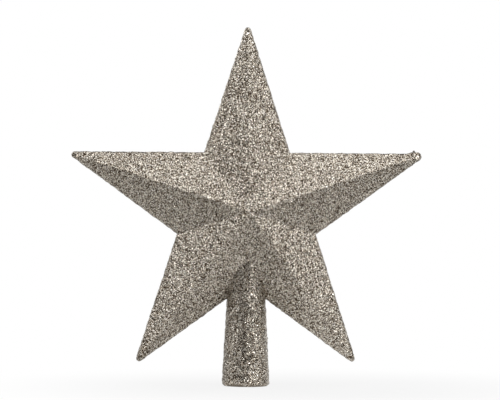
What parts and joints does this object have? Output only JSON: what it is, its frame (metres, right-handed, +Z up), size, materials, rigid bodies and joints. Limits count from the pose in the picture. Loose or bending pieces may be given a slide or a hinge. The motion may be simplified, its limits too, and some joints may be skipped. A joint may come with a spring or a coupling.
{
  "type": "christmas tree topper star",
  "caption": "Double-sided faceted star under a crust of champagne glitter, with a tapered hollow stem that slips over the leader of a Christmas tree.",
  "frame": {"origin": "centre of the stem's mouth, on the plane of its rim, which is also the middle of the bottom of the object's box", "axes": "+Z up along the stem to the upper point, +X to the star's right seen from the front, front peak towards -Y"},
  "size_m": [0.1862, 0.0502, 0.1902],
  "materials": {
    "moulded_plastic": "champagne coloured moulded polystyrene, satin inside",
    "cement": "dried clear solvent cement",
    "glitter": "crust of metallised film glitter in clear glue"
  },
  "bodies": {
    "root": {"front_shell": "moulded_plastic", "back_shell": "moulded_plastic", "seam_cement": "cement", "front_coat": "glitter", "back_coat": "glitter"}
  },
  "joints": []
}
